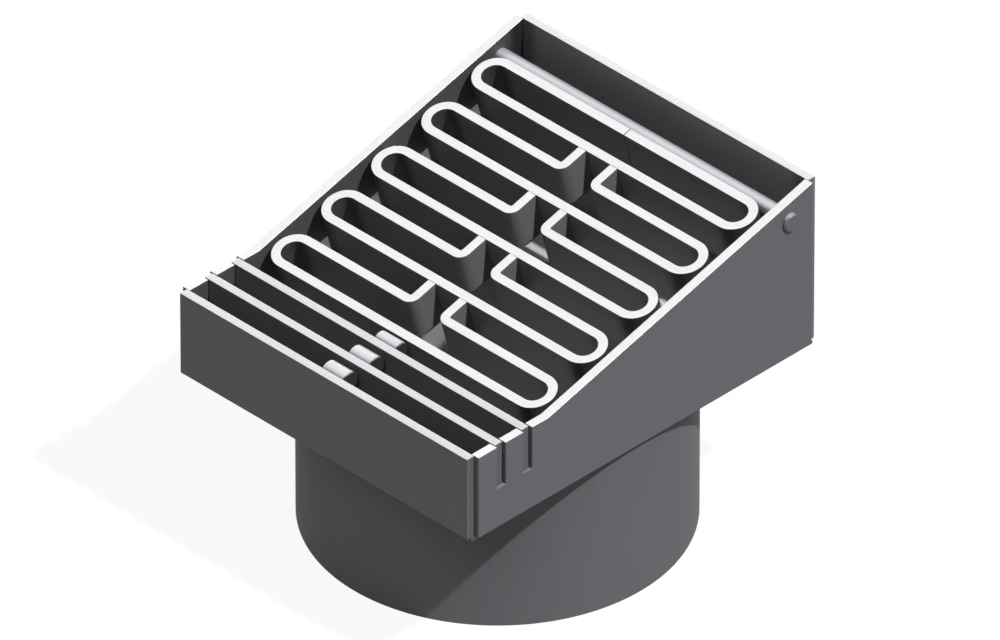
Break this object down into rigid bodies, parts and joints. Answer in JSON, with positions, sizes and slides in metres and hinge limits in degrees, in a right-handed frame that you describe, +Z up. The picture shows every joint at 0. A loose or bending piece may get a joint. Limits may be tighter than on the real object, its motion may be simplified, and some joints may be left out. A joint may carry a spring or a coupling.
{
  "type": "ramp drain",
  "caption": "Wedge-shaped steel drain box on a round outlet pipe, for a sloping ramp, closed by cross bars and a hinged grate of looped flat bar.",
  "frame": {"origin": "centre of the outlet pipe's lower end", "axes": "+Z up, +Y from the low front edge to the high back, +X to the right"},
  "size_m": [0.21, 0.242, 0.1898],
  "materials": {
    "plate_steel": "satin dark grey, bare mill-finished plate",
    "bar_steel": "satin dark grey, bare flat bar"
  },
  "bodies": {
    "drain_body": {"front_plate": "plate_steel", "back_plate": "plate_steel", "left_side_plate": "plate_steel", "right_side_plate": "plate_steel", "floor_plate": "plate_steel", "outlet_pipe": "plate_steel", "front_cross_bar": "plate_steel", "rear_cross_bar": "plate_steel", "front_spacer_rod": "plate_steel", "middle_spacer_rod": "plate_steel", "rear_spacer_rod": "plate_steel", "left_rest_lug": "plate_steel", "right_rest_lug": "plate_steel"},
    "grate": {"grate_loop_1": "bar_steel", "grate_loop_2": "bar_steel", "grate_loop_3": "bar_steel", "grate_loop_4": "bar_steel", "grate_loop_5": "bar_steel", "hinge_rod": "bar_steel", "left_centring_stud": "bar_steel", "right_centring_stud": "bar_steel"}
  },
  "joints": [
    {"name": "grate_hinge", "type": "hinge", "parent": "drain_body", "child": "grate", "pos_m": [0, 0.10022, 0.17418], "axis": [-1, 0, 0], "range_deg": [0, 120]}
  ]
}
